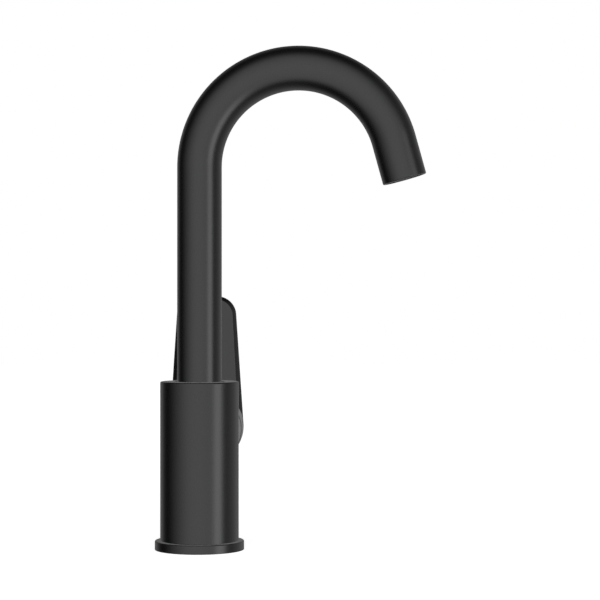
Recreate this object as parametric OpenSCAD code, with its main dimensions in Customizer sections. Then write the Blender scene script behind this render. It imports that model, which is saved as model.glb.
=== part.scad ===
// Basin mixer tap with a swivelling gooseneck spout and one side lever.
// Sizes are in millimetres. Z is up, X is the way the spout points at rest and
// Y is the way the side boss points. The origin is the centre of the base
// ring's underside, so the deck is the plane z = 0.

/* [Base] */
// Outer diameter of the base ring
ring_d = 50; // [47:0.5:70]
// Height of the base ring
ring_h = 5; // [4:0.5:8]
// Rounding of the base ring's top edge
ring_edge = 0.55; // [0.2:0.05:1]
// Width of the deck seal
gasket_w = 4; // [2:0.5:4.5]
// Depth of the deck seal's groove
gasket_h = 1.5; // [1:0.1:2]

/* [Body] */
// Diameter of the upright body and of its side boss
body_d = 44; // [44:0.5:60]
// Height of the body's top above the deck
body_top = 94; // [88:0.5:105]
// Rounding of the body's edges
body_edge = 0.6; // [0.2:0.05:1]
// Diameter of the body's foot inside the base ring
spigot_d = 34; // [32:0.5:36]
// Gap between the foot and the deck
spigot_lift = 1; // [0.5:0.1:2]
// Diameter of the hollow under the body
recess_d = 31; // [30:0.5:31]
// Height of the hollow's ceiling above the deck
recess_top = 12; // [10:0.5:20]
// Distance of the side boss's axis below the body's top
boss_drop = 29.2; // [28:0.1:32]
// Distance from the tap's axis to the end of the side boss
boss_end = 35; // [34:0.5:40]

/* [Connections] */
// Diameter of the two inlet threads
inlet_d = 10; // [9:0.5:11]
// Depth of the inlet threads
inlet_depth = 12; // [8:0.5:14]
// Distance between the two inlet threads
inlet_spacing = 17; // [15:0.5:17]
// Distance of the inlet threads behind the tap's axis
inlet_offset = 5; // [3:0.5:5]
// Diameter of the fixing stud's thread
stud_d = 8; // [6:0.5:8]
// Depth of the fixing stud's thread
stud_depth = 14; // [10:0.5:18]
// Distance of the fixing stud in front of the tap's axis
stud_offset = 8.5; // [7:0.5:9]
// Diameter of the cast waterways
waterway_d = 5; // [4:0.1:5.2]

/* [Spout] */
// Outer diameter of the spout tube
tube_d = 25; // [24.5:0.5:25.5]
// Wall of the spout tube
tube_wall = 1.5; // [1:0.1:1.8]
// Radius of the bend, to the tube's centre line
bend_r = 55.5; // [45:0.5:75]
// Height of the bend's centre above the deck
bend_z = 214; // [160:1:260]
// Angle that the bend turns through
bend_sweep = 164.5; // [140:0.5:180]
// Length of the straight outlet end
outlet_len = 22.5; // [18:0.5:30]
// Greatest swivel to each side
swivel_limit = 60; // [20:5:80]

/* [Swivel joint] */
// Outer diameter of the nipple under the spout tube
nipple_d = 18.6; // [18.2:0.1:18.8]
// Bore of the nipple
nipple_bore = 12; // [10:0.5:12.5]
// Diameter of the body's socket for the nipple
socket_d = 19; // [18.9:0.1:19.4]
// Depth of the step that carries the spout, below the body's top
step_depth = 10.4; // [10:0.1:11]
// Thickness of the thrust washer on that step
washer_t = 1; // [0.8:0.1:1.2]
// Height of the nipple's collar
collar_h = 1.9; // [1.5:0.1:2.2]
// Length of the nipple's plug inside the tube
plug_len = 10; // [6:0.5:14]
// Wall of the slip ring around the tube
slip_ring_wall = 1.5; // [1.2:0.1:1.8]
// Section of the spout's sealing rings
ring_section = 2; // [1.8:0.1:2.2]
// Diameter of the retaining screw
stop_screw_d = 4; // [3:0.5:5]
// Diameter of the retaining screw's tip
stop_tip_d = 2.4; // [2:0.1:2.6]

/* [Outlet] */
// Thread diameter of the outlet insert
aerator_d = 18.5; // [18:0.1:19.5]
// Length of the threaded bush in the spout's end
bush_len = 14; // [12:0.5:16]
// Setback of the bush inside the spout's end
bush_setback = 0.6; // [0.3:0.1:1.5]
// Length of the outlet insert's shell
shell_len = 9.5; // [8:0.5:10.5]
// Spacing of the holes in the outlet grid
grid_pitch = 2.2; // [1.8:0.1:3]

/* [Cartridge] */
// Distance from the tap's axis to the cartridge's seat
seat_y = 12; // [12:0.1:12.5]
// Wall of the side boss around the nut's thread. A 44 mm body leaves room for a 38 mm thread
boss_wall = 3; // [2.5:0.1:3.5]
// Step from the nut's thread in to the cartridge, which is then a standard 35 mm one
cartridge_step = 1.5; // [1.2:0.1:2]
// Step from the cartridge in to its neck
neck_step = 2.5; // [2:0.1:3]
// Thickness of the cartridge's foot
foot_t = 5; // [4.5:0.1:5.5]
// Thickness of each ceramic disc
disc_t = 3; // [2.5:0.1:3]
// Rim of the cartridge's foot around the fixed ceramic disc
foot_rim = 4; // [3.5:0.1:4.5]
// Step from the fixed ceramic disc in to the sliding one
disc_step = 2.5; // [2.5:0.1:3]
// Diameter of the lever spindle's pivot pin
pin_d = 3; // [2.5:0.1:3.5]
// Width of the square lever spindle
spindle_w = 8; // [7.5:0.1:8.2]
// Distance from the pivot to the spindle's ball
spindle_arm = 10; // [9.5:0.1:10.5]
// Length of the spindle's square above the pivot
spindle_len = 22.5; // [20:0.5:24]
// Diameter of the spindle's ball
ball_d = 5.8; // [5:0.1:6]
// Greatest turn of the lever to each side
turn_limit = 45; // [20:5:60]
// Greatest tilt of the lever
tilt_limit = 18; // [8:1:20]

/* [Handle] */
// Gap between the side boss and the hub
hub_gap = 0.8; // [0.5:0.1:1.5]
// Wall of the hub around its hollow
hub_wall = 2; // [1.6:0.1:2.4]
// Depth of the hub's hollow
hub_hollow = 12.2; // [12:0.1:13]
// Distance from the tap's axis to the lever plate's inner face
plate_y = 60; // [58:0.5:66]
// Thickness of the lever plate
plate_t = 6; // [5:0.5:9]
// Height of the lever's top above the hub's axis
lever_h = 77; // [55:1:110]
// Radius of the lever's top corners
corner_r = 11.3; // [6:0.1:14]
// Width of the flat between the top corners
tip_flat = 12.6; // [6:0.1:14]
// Rounding of the lever's edges
lever_edge = 1.7; // [1:0.1:2.4]
// Diameter of the grub screw that holds the handle
grub_d = 5; // [4:0.5:6]
// Gap between the grub screw and the plug over it
grub_gap = 3; // [1:0.5:6]
// Diameter of the plug over the grub screw
plug_d = 6.6; // [6.5:0.1:8]

/* [Fits] */
// Radial clearance of parts that turn on each other
run_fit = 0.05; // [0.02:0.01:0.08]
// Radial clearance of parts that are fixed in each other
push_fit = 0.02; // [0.01:0.01:0.03]
// Gap between flat faces that slide on each other
slide_gap = 0.04; // [0.02:0.01:0.08]
// Clearance of parts that do not guide each other
loose_fit = 0.3; // [0.2:0.05:0.4]

/* [Hidden] */
$fn = 96;
over = 1;

// Finishes, as the photograph shows them, and of the pieces inside
satin_black = "#2b2b2c";
black_plastic = "#1d1d1e";
grey_plastic = "#8d9093";
white_ceramic = "#ece8de";
seal_rubber = "#151515";
raw_brass = "#c3a04f";
plain_steel = "#a9acae";
signal_red = "#b5332b";

// Radii of the main forms
ring_r = ring_d / 2;
body_r = body_d / 2;
spigot_r = spigot_d / 2;
tube_r = tube_d / 2;
tube_bore_r = tube_r - tube_wall;
socket_r = socket_d / 2;
nipple_r = nipple_d / 2;
hub_r = body_r;
hollow_r = hub_r - hub_wall;

// Base ring: the groove of the deck seal lies midway between bore and rim
gasket_r = (spigot_r + ring_r) / 2;

// Heights that are measured from the body's top
boss_z = body_top - boss_drop;
step_z = body_top - step_depth;

// Swivel joint, from the step upwards and then from the step downwards
collar_z = step_z + washer_t + slide_gap;
tube_z = collar_z + collar_h;
slip_z = tube_z + slide_gap;
slip_r = tube_r + run_fit + slip_ring_wall;
slip_ring_sink = 0.3;
slip_top = body_top - slip_ring_sink;
well_r = tube_r + loose_fit;
collar_step = 0.1;
tip_clear = 0.35;
stop_drop = 2.4;
stop_groove_depth = 1.7;
stop_groove_h = stop_tip_d + 2 * tip_clear;
stop_z = step_z - stop_drop;
stop_groove_r = nipple_r - stop_groove_depth;
land = 1.4;
seal_play = 0.5;
seal_groove_h = ring_section + seal_play;
seal_groove_r = socket_r - run_fit - ring_section;
seal_z = [
    stop_z - stop_groove_h / 2 - land - seal_groove_h / 2,
    stop_z - stop_groove_h / 2 - 2 * land - 1.5 * seal_groove_h
];
guide_h = 3;
guide_wall = 1;
guide_z = seal_z[1] - seal_groove_h / 2 - land - guide_h;
nipple_z = guide_z - land;
plenum_drop = 12;
plenum_floor = boss_z - plenum_drop;

// Stop screw: the hole runs from the body's back to the nipple's groove
stop_head_sink = 1.5;
stop_shank_gap = 0.7;
stop_head_x = body_r - stop_head_sink;
stop_shank_x = socket_r + stop_shank_gap;
stop_tip_x = stop_groove_r + tip_clear;
tip_angle = asin((stop_tip_d / 2 + loose_fit) / stop_tip_x);
stop_hex_depth = 2.5;

// Outlet end of the spout
outlet_lean = 180 - bend_sweep;
seam_step = 0.01;
seam_lap = 0.3;
aerator_r = aerator_d / 2;
shell_setback = 0.5;
shell_set = bush_setback + shell_setback;
shell_wall = 1.2;
core_r = aerator_r - push_fit - shell_wall - push_fit;
lip = 1;
lip_t = 0.8;
key_w = 2;
key_depth = 0.6;
grid_t = 1.4;
grid_rim = 1.3;
grid_open_share = 0.88;
grid_set = shell_set + lip_t;
core_set = grid_set + grid_t;
core_len = shell_set + shell_len - core_set;
core_rim = 1;
core_dish = 2.5;
nozzle_rings = [2.2, 4.6];
nozzle_twist = 10;
nozzle_r = 0.7;
seal_t = 1.6;
seal_wall = 1.2;
bush_throat_step = 1.6;
bush_throat_r = aerator_r - bush_throat_step;

// Cartridge, from its seat outwards along the boss
nut_r = body_r - boss_wall;
cartridge_r = nut_r - cartridge_step;
cartridge_play = 0.1;
housing_r = cartridge_r - cartridge_play;
chamber_r = cartridge_r + cartridge_play;
neck_r = cartridge_r - neck_step;
fixed_disc_r = cartridge_r - foot_rim;
sliding_disc_r = fixed_disc_r - disc_step;
disc_pocket = 1;
fixed_disc_y = seat_y + foot_t - disc_pocket;
sliding_disc_y = fixed_disc_y + disc_t + slide_gap;
carrier_y = sliding_disc_y + disc_t;
carrier_t = 2;
tongue_t = 3.5;
tongue_w = 12;
tongue_h = 13;
flange_y = carrier_y + carrier_t + slide_gap;
flange_t = 3.6;
housing_wall = 1.5;
shoulder_y = flange_y + flange_t + slide_gap + housing_wall;
disc_travel = spindle_arm * sin(tilt_limit);
housing_bore_r = sliding_disc_r + disc_travel + loose_fit;
flange_r = housing_bore_r - loose_fit;
neck_wall = 2;
neck_h = 8.5;
crown_h = 2.1;
rotor_r = neck_r - neck_wall;
ball_rise = 1.9;
ball_y = carrier_y + carrier_t + ball_rise;
pivot_y = ball_y + spindle_arm;
nut_h = 9.4;
nut_head_wall = 2;
nut_thread_sink = 0.2;
nut_thread_end = boss_end - nut_thread_sink;
nut_head_r = neck_r + nut_head_wall;
nut_top = shoulder_y + nut_h;
nut_relief = 0.5;
nut_slot_w = 3;
nut_slot_depth = 2;
neck_top = shoulder_y + neck_h;
crown_top = neck_top + crown_h;
limit_y = crown_top + slide_gap;
limit_t = 1.6;
tab_half_angle = 12;
tab_gap = 0.2;
rotor_step = 2.6;
rotor_neck_r = rotor_r - rotor_step;
rotor_top = limit_y + limit_t;
window_play = 0.3;
window_swing = 6;
pin_recess = 0.2;
ball_play = 0.1;
ball_neck_step = 1;

// Ports in the cartridge's foot and fixed disc, as [across, up] from its axis
inlet_port = [9, 5];
inlet_port_r = 2.5;
disc_inlet = [5.5, 4.5];
disc_inlet_r = 2;
outlet_port = [0, -8];
outlet_port_r = 3.6;
disc_outlet = [0, -4.5];
disc_outlet_r = 2.8;
port_depth = 2.2;
port_drill_r = 2.2;
port_overlap = 0.4;
pocket_land = 0.4;
pocket_share = 0.55;
seal_cord = 1.4;
seal_inset = 0.2;
seal_sink = 0.1;
peg_at = [9, -9];
peg_r = 2;
peg_len = 1.8;
peg_end_gap = 0.2;

// Inlet waterways rise from the threads to a point beside the seat
waterway_across = 13;
waterway_behind_seat = 3.8;
waterway_over_port = 2.5;
waterway_top = [
    waterway_across,
    seat_y - waterway_behind_seat,
    boss_z + inlet_port[1] + waterway_over_port
];

// Trim dome: a zone of a ball about the lever's pivot, so that the hub clears it at any tilt
dome_gap = 0.5;
dome_rise = 5;
dome_bore_gap = 0.6;
dome_r = hollow_r - dome_gap;
dome_top = pivot_y + dome_rise;
dome_bore_r = neck_r + dome_bore_gap;

// Handle
hub_rim_y = boss_end + hub_gap;
hollow_floor = hub_rim_y + hub_hollow;
plate_end = plate_y + plate_t;
corner_x = tip_flat / 2;
corner_z = lever_h - corner_r;
spindle_end = pivot_y + spindle_len;
spindle_end_gap = 0.3;
grub_y = (hollow_floor + plate_y) / 2;
grub_hex_depth = 3;
plug_t = 2.5;
plug_sink = 0.5;
plug_low = hub_r - plug_t - plug_sink;
plate_inset = 0.03;

// Places its children along the side boss: their z is the distance from the tap's axis
module along_boss() translate([0, 0, boss_z]) rotate([-90, 0, 0]) children();

// Places its children in the boss's frame at a point given across and up
module at_port(p) translate([p[0], -p[1], 0]) children();

// Places its children at the spout's outlet: their z runs back up the tube
module at_outlet()
    translate([bend_r, 0, bend_z])
        rotate([0, -outlet_lean, 0])
            translate([bend_r, 0, -outlet_len]) children();

// A ring or disc between two heights
module tube_ring(r, bore_r, z0, z1) {
    difference() {
        translate([0, 0, z0]) cylinder(r = r, h = z1 - z0);
        if (bore_r > 0) translate([0, 0, z0 - over]) cylinder(r = bore_r, h = z1 - z0 + 2 * over);
    }
}

// A disc between two heights whose upper edge is rounded
module rounded_disc(r, z0, z1, edge, both = false) {
    low = both ? edge : 0;
    steps = 6;
    rotate_extrude()
        polygon([
            [0, z0],
            [r - low, z0],
            if (both) for (i = [1:steps - 1])
                [r - edge + edge * sin(90 * i / steps), z0 + edge - edge * cos(90 * i / steps)],
            if (both) [r, z0 + edge],
            if (!both) [r, z0],
            [r, z1 - edge],
            for (i = [1:steps - 1])
                [r - edge + edge * cos(90 * i / steps), z1 - edge + edge * sin(90 * i / steps)],
            [r - edge, z1],
            [0, z1]
        ]);
}

// A straight round hole or bar from point a to point b
module drilling(a, b, r) {
    d = b - a;
    run = norm([d[0], d[1]]);
    translate(a)
        rotate([0, atan2(run, d[2]), atan2(d[1], d[0])])
            cylinder(r = r, h = norm(d));
}

// A round cord laid in a circle
module cord_ring(r, section, z) {
    translate([0, 0, z]) rotate_extrude() translate([r, 0]) circle(d = section, $fn = 32);
}

// The spout's centre line as a bar: upright, bend and straight end. The end reaches a little
// way into the bend and is a hair slimmer, so that their round faces never coincide.
module spout_bar(r, low, high) {
    translate([0, 0, tube_z - low]) cylinder(r = r, h = bend_z - tube_z + low);
    translate([bend_r, 0, bend_z])
        mirror([1, 0, 0])
            rotate([90, 0, 0])
                rotate_extrude(angle = bend_sweep) translate([bend_r, 0]) circle(r = r);
    at_outlet() translate([0, 0, -high]) cylinder(r = r - seam_step, h = outlet_len + high + seam_lap);
}

module base_ring() {
    color(satin_black)
        difference() {
            rounded_disc(ring_r, 0, ring_h, ring_edge);
            translate([0, 0, -over]) cylinder(r = spigot_r + push_fit, h = ring_h + 2 * over);
            groove = gasket_w / 2 + push_fit;
            tube_ring(gasket_r + groove, gasket_r - groove, -over, gasket_h);
        }
}

module base_gasket() {
    color(seal_rubber) tube_ring(gasket_r + gasket_w / 2, gasket_r - gasket_w / 2, 0, gasket_h);
}

// Cuts for the hollow underside, the threads and the inlet waterways
module body_underside() {
    translate([0, 0, spigot_lift - over]) cylinder(d = recess_d, h = recess_top - spigot_lift + over);
    for (side = [-1, 1]) {
        inlet = [side * inlet_spacing / 2, inlet_offset, recess_top];
        translate(inlet) translate([0, 0, -over]) cylinder(d = inlet_d, h = inlet_depth + over);
        top = [side * waterway_top[0], waterway_top[1], waterway_top[2]];
        drilling([inlet[0], inlet[1], recess_top + inlet_depth - over], top, waterway_d / 2);
        port_end = [side * inlet_port[0], seat_y - port_depth, boss_z + inlet_port[1]];
        drilling(port_end, top, port_drill_r);
    }
    translate([0, -stud_offset, recess_top - over]) cylinder(d = stud_d, h = stud_depth + over);
}

// Cuts for the spout's swivel joint and its stop screw
module body_socket() {
    translate([0, 0, plenum_floor]) cylinder(r = socket_r, h = body_top - plenum_floor);
    translate([0, 0, step_z]) cylinder(r = well_r, h = body_top - step_z);
    translate([0, 0, slip_z]) cylinder(r = slip_r + push_fit, h = body_top - slip_z + over);
    translate([-body_r - over, 0, stop_z])
        rotate([0, 90, 0]) cylinder(d = stop_screw_d, h = body_r - socket_r + 2 * over);
}

// Cuts for the cartridge, its nut and its ports
module body_chamber() {
    along_boss() {
        translate([0, 0, seat_y]) cylinder(r = chamber_r, h = boss_end - seat_y);
        translate([0, 0, shoulder_y - nut_relief])
            cylinder(r = nut_r, h = boss_end - shoulder_y + nut_relief + over);
        for (side = [-1, 1]) {
            at_port([side * inlet_port[0], inlet_port[1]])
                translate([0, 0, seat_y - port_depth])
                    cylinder(r = inlet_port_r, h = port_depth + over);
            at_port([side * peg_at[0], peg_at[1]])
                translate([0, 0, seat_y - peg_len - peg_end_gap])
                    cylinder(r = peg_r + push_fit, h = peg_len + over);
        }
        at_port(outlet_port) cylinder(r = outlet_port_r, h = seat_y + over);
    }
}

module body() {
    color(satin_black)
        difference() {
            union() {
                rounded_disc(body_r, ring_h, body_top, body_edge);
                translate([0, 0, spigot_lift]) cylinder(r = spigot_r, h = ring_h - spigot_lift + over);
                along_boss() cylinder(r = body_r, h = boss_end);
            }
            body_underside();
            body_socket();
            body_chamber();
        }
}

module slip_ring() {
    color(black_plastic) tube_ring(slip_r, tube_r + run_fit, slip_z + slide_gap, slip_top);
}

module thrust_washer() {
    color(black_plastic) tube_ring(tube_r, nipple_r + loose_fit, step_z, step_z + washer_t);
}

module spout_stop_screw() {
    color(plain_steel)
        difference() {
            union() {
                translate([-stop_head_x, 0, stop_z]) rotate([0, 90, 0])
                    cylinder(d = stop_screw_d - 2 * push_fit, h = stop_head_x - stop_shank_x);
                translate([-stop_head_x + over, 0, stop_z]) rotate([0, 90, 0])
                    cylinder(d = stop_tip_d, h = stop_head_x - over - stop_tip_x);
            }
            translate([-stop_head_x - over, 0, stop_z]) rotate([0, 90, 0])
                cylinder(d = stop_screw_d / 2, h = stop_hex_depth + over, $fn = 6);
        }
}

module spout_tube() {
    color(satin_black)
        difference() {
            spout_bar(tube_r, 0, 0);
            spout_bar(tube_bore_r, over, over);
        }
}

// The stop groove is open as far as the spout may swivel and closed beyond that
module stop_groove() {
    translate([0, 0, stop_z - stop_groove_h / 2])
        rotate([0, 0, 180 - swivel_limit - tip_angle])
            rotate_extrude(angle = 2 * (swivel_limit + tip_angle))
                translate([stop_groove_r, 0]) square([nipple_r - stop_groove_r + over, stop_groove_h]);
}

module spout_nipple() {
    color(raw_brass)
        difference() {
            union() {
                translate([0, 0, nipple_z]) cylinder(r = nipple_r, h = collar_z - nipple_z + over);
                translate([0, 0, collar_z]) cylinder(r = tube_r - collar_step, h = collar_h);
                translate([0, 0, collar_z + over])
                    cylinder(r = tube_bore_r - push_fit, h = collar_h - over + plug_len);
            }
            translate([0, 0, nipple_z - over]) cylinder(d = nipple_bore, h = body_top);
            for (z = seal_z)
                tube_ring(nipple_r + over, seal_groove_r, z - seal_groove_h / 2, z + seal_groove_h / 2);
            tube_ring(nipple_r + over, socket_r - run_fit - guide_wall, guide_z, guide_z + guide_h);
            stop_groove();
        }
}

module spout_seals() {
    color(seal_rubber)
        for (z = seal_z)
            cord_ring(seal_groove_r + ring_section / 2, ring_section - 2 * push_fit, z);
}

module nipple_guide_ring() {
    color(black_plastic)
        tube_ring(socket_r - run_fit, socket_r - run_fit - guide_wall + push_fit,
            guide_z + slide_gap, guide_z + guide_h - slide_gap);
}

module outlet_bush() {
    color(satin_black)
        at_outlet()
            difference() {
                tube_ring(
                    tube_bore_r - seam_step - push_fit, bush_throat_r,
                    bush_setback, bush_setback + bush_len);
                translate([0, 0, bush_setback - over])
                    cylinder(r = aerator_r, h = shell_set + shell_len + seal_t - bush_setback + over);
            }
}

module aerator_shell() {
    color(black_plastic)
        at_outlet()
            difference() {
                tube_ring(aerator_r - push_fit, core_r - lip, shell_set, shell_set + shell_len);
                translate([0, 0, grid_set]) cylinder(r = core_r + push_fit, h = shell_len);
                // Four slots take the key that screws the insert in
                for (a = [0:90:270])
                    rotate([0, 0, a]) translate([core_r - lip - over, -key_w / 2, shell_set - over])
                        cube([lip + shell_wall + 2 * over, key_w, key_depth + over]);
            }
}

module aerator_core() {
    color(grey_plastic)
        at_outlet()
            difference() {
                translate([0, 0, core_set]) cylinder(r = core_r, h = core_len);
                translate([0, 0, core_set - over]) cylinder(r = core_r - core_rim, h = core_dish + over);
                for (ring = nozzle_rings, a = [0:60:300])
                    rotate([0, 0, a + nozzle_twist * ring]) translate([ring, 0, core_set])
                        cylinder(r = nozzle_r, h = core_len + over, $fn = 24);
            }
}

// Hexagonal holes on a regular grid, kept inside the rim
module aerator_grid() {
    reach = core_r - grid_rim - grid_pitch / 2;
    rows = floor(reach / (grid_pitch * sin(60)));
    color(black_plastic)
        at_outlet()
            difference() {
                translate([0, 0, grid_set]) cylinder(r = core_r, h = grid_t);
                for (row = [-rows:rows], col = [-rows - 1:rows + 1]) {
                    x = (col + (row % 2 == 0 ? 0 : 0.5)) * grid_pitch;
                    y = row * grid_pitch * sin(60);
                    if (norm([x, y]) < reach)
                        translate([x, y, grid_set - over]) rotate([0, 0, 30])
                            cylinder(d = grid_pitch * grid_open_share, h = grid_t + 2 * over, $fn = 6);
                }
            }
}

module aerator_washer() {
    low = shell_set + shell_len;
    color(seal_rubber) at_outlet() tube_ring(aerator_r - push_fit, core_r - seal_wall, low, low + seal_t);
}

module cartridge_foot() {
    color(grey_plastic)
        along_boss()
            difference() {
                union() {
                    translate([0, 0, seat_y]) cylinder(r = housing_r, h = foot_t);
                    for (side = [-1, 1])
                        at_port([side * peg_at[0], peg_at[1]])
                            translate([0, 0, seat_y - peg_len]) cylinder(r = peg_r, h = peg_len + over);
                }
                translate([0, 0, fixed_disc_y]) cylinder(r = fixed_disc_r + push_fit, h = foot_t);
                for (side = [-1, 1]) {
                    low = [side * inlet_port[0], -inlet_port[1], seat_y + seal_cord];
                    high = [side * disc_inlet[0], -disc_inlet[1], fixed_disc_y + port_overlap];
                    drilling(low, high, disc_inlet_r);
                    at_port([side * inlet_port[0], inlet_port[1]]) port_recess(inlet_port_r);
                }
                drilling(
                    [outlet_port[0], -outlet_port[1], seat_y + seal_cord],
                    [disc_outlet[0], -disc_outlet[1], fixed_disc_y + port_overlap], disc_outlet_r);
                at_port(outlet_port) port_recess(outlet_port_r);
            }
}

// The recess of a port's seal in the cartridge's seat
module port_recess(r) {
    translate([0, 0, seat_y - over])
        cylinder(r = r + seal_inset + seal_cord + seal_sink, h = seal_cord + over + seal_sink);
}

module port_seals() {
    z = seat_y + seal_cord / 2;
    color(seal_rubber)
        along_boss() {
            for (side = [-1, 1])
                at_port([side * inlet_port[0], inlet_port[1]])
                    cord_ring(inlet_port_r + seal_inset + seal_cord / 2, seal_cord, z);
            at_port(outlet_port) cord_ring(outlet_port_r + seal_inset + seal_cord / 2, seal_cord, z);
        }
}

module fixed_disc() {
    color(white_ceramic)
        along_boss()
            difference() {
                translate([0, 0, fixed_disc_y]) cylinder(r = fixed_disc_r, h = disc_t);
                for (side = [-1, 1])
                    at_port([side * disc_inlet[0], disc_inlet[1]])
                        translate([0, 0, fixed_disc_y - over])
                            cylinder(r = disc_inlet_r, h = disc_t + 2 * over);
                at_port(disc_outlet)
                    translate([0, 0, fixed_disc_y - over])
                        cylinder(r = disc_outlet_r, h = disc_t + 2 * over);
            }
}

// The pocket joins inlets and outlet once the disc has slid upwards
module sliding_disc() {
    pocket_top = disc_inlet[1] - disc_inlet_r - pocket_land;
    pocket_low = disc_outlet[1] - disc_outlet_r;
    color(white_ceramic)
        along_boss()
            difference() {
                translate([0, 0, sliding_disc_y]) cylinder(r = sliding_disc_r, h = disc_t);
                translate([-disc_inlet[0] - disc_inlet_r, -pocket_top, sliding_disc_y - over])
                    cube([
                        2 * (disc_inlet[0] + disc_inlet_r), pocket_top - pocket_low,
                        disc_t * pocket_share + over]);
            }
}

module disc_carrier() {
    color(black_plastic)
        along_boss()
            difference() {
                union() {
                    translate([0, 0, carrier_y]) cylinder(r = sliding_disc_r, h = carrier_t);
                    translate([-tongue_w / 2, -tongue_h / 2, carrier_y + carrier_t - over])
                        cube([tongue_w, tongue_h, tongue_t + over]);
                }
                slot_w = ball_d + 2 * ball_play;
                slot_h = ball_d + 4 * ball_play;
                translate([-slot_w / 2, -slot_h / 2, ball_y - slot_w / 2])
                    cube([slot_w, slot_h, 2 * ball_d]);
            }
}

module cartridge_rotor() {
    slot_w = tongue_w + 2 * slide_gap;
    slot_h = tongue_h + 2 * (disc_travel + loose_fit);
    window_w = spindle_w + window_play;
    window_h = spindle_w + window_swing;
    color(grey_plastic)
        along_boss()
            difference() {
                union() {
                    translate([0, 0, flange_y]) cylinder(r = flange_r, h = flange_t);
                    translate([0, 0, flange_y])
                        cylinder(r = rotor_r - run_fit, h = limit_y - slide_gap - flange_y);
                    translate([0, 0, flange_y]) cylinder(r = rotor_neck_r, h = rotor_top - flange_y);
                }
                translate([-slot_w / 2, -slot_h / 2, flange_y - over])
                    cube([slot_w, slot_h, flange_t + over]);
                translate([-window_w / 2, -window_h / 2, flange_y - over])
                    cube([window_w, window_h, rotor_top]);
                translate([-rotor_r + over, 0, pivot_y]) rotate([0, 90, 0])
                    cylinder(d = pin_d + 2 * push_fit, h = 2 * (rotor_r - over));
            }
}

module cartridge_housing() {
    gap_half = turn_limit + tab_half_angle;
    foot_top = seat_y + foot_t;
    color(black_plastic)
        along_boss()
            difference() {
                union() {
                    translate([0, 0, foot_top]) cylinder(r = housing_r, h = shoulder_y - foot_top);
                    translate([0, 0, foot_top]) cylinder(r = neck_r, h = crown_top - foot_top);
                }
                translate([0, 0, foot_top - over])
                    cylinder(r = housing_bore_r, h = shoulder_y - housing_wall - foot_top + over);
                translate([0, 0, foot_top]) cylinder(r = rotor_r, h = rotor_top);
                // The crown's open sector stops the limit ring's tab at both ends of the turn
                rotate([0, 0, 90 - gap_half])
                    rotate_extrude(angle = 2 * gap_half)
                        translate([rotor_r - over, neck_top])
                            square([neck_r - rotor_r + 2 * over, crown_top - neck_top + over]);
            }
}

module lever_spindle() {
    low = pivot_y - spindle_w / 2;
    color(plain_steel)
        along_boss()
            difference() {
                union() {
                    translate([0, 0, ball_y]) sphere(d = ball_d);
                    translate([0, 0, ball_y])
                        cylinder(d = ball_d - ball_neck_step, h = low - ball_y + over);
                    translate([-spindle_w / 2, -spindle_w / 2, low])
                        cube([spindle_w, spindle_w, spindle_end - low]);
                }
                translate([-spindle_w, 0, pivot_y]) rotate([0, 90, 0])
                    cylinder(d = pin_d + 2 * run_fit, h = 2 * spindle_w);
            }
}

module spindle_pin() {
    length = 2 * (rotor_r - over - pin_recess);
    color(plain_steel)
        along_boss()
            translate([-length / 2, 0, pivot_y])
                rotate([0, 90, 0]) cylinder(d = pin_d, h = length);
}

module hot_limit_ring() {
    color(signal_red)
        along_boss() {
            tube_ring(neck_r, rotor_neck_r + push_fit, limit_y, rotor_top);
            rotate([0, 0, 90 - tab_half_angle])
                rotate_extrude(angle = 2 * tab_half_angle)
                    translate([rotor_r + tab_gap, neck_top + slide_gap])
                        square([neck_r - rotor_r - tab_gap, limit_y - neck_top - slide_gap + over / 2]);
        }
}

module cartridge_nut() {
    color(raw_brass)
        along_boss()
            difference() {
                union() {
                    translate([0, 0, shoulder_y])
                        cylinder(r = nut_r - push_fit, h = nut_thread_end - shoulder_y);
                    translate([0, 0, shoulder_y + over])
                        cylinder(r = nut_head_r, h = nut_top - shoulder_y - over);
                }
                translate([0, 0, shoulder_y - over]) cylinder(r = neck_r + push_fit, h = nut_top);
                for (a = [0:60:300])
                    rotate([0, 0, a]) translate([neck_r - over, -nut_slot_w / 2, nut_top - nut_slot_depth])
                        cube([nut_head_r, nut_slot_w, nut_slot_depth + over]);
            }
}

module trim_dome() {
    foot = boss_end + slide_gap;
    seat_edge = sqrt(pow(dome_r, 2) - pow(pivot_y - foot, 2));
    low_angle = asin((foot - pivot_y) / dome_r);
    high_angle = asin((dome_top - pivot_y) / dome_r);
    steps = 10;
    color(satin_black)
        along_boss()
            rotate_extrude()
                polygon([
                    [nut_head_r + push_fit, foot],
                    [seat_edge, foot],
                    for (i = [1:steps])
                        let (a = low_angle + (high_angle - low_angle) * i / steps)
                            [dome_r * cos(a), pivot_y + dome_r * sin(a)],
                    [dome_bore_r, dome_top],
                    [dome_bore_r, nut_top + slide_gap],
                    [nut_head_r + push_fit, nut_top + slide_gap]
                ]);
}

// The lever plate: one rounded disc at the hub and one at each top corner, wrapped together
module lever_plate() {
    hull() {
        rounded_disc(hub_r - plate_inset, plate_y, plate_end, lever_edge, true, $fn = 64);
        for (side = [-1, 1])
            translate([side * corner_x, -corner_z, 0])
                rounded_disc(corner_r, plate_y, plate_end, lever_edge, true, $fn = 48);
    }
}

// What the hub must leave free so that it stays clear of the boss at full tilt
module tilt_relief() {
    size = 3 * hub_r;
    translate([0, 0, pivot_y])
        rotate([tilt_limit, 0, 0])
            translate([-size / 2, -size / 2, hub_rim_y - pivot_y - size])
                cube([size, size, size]);
}

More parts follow.
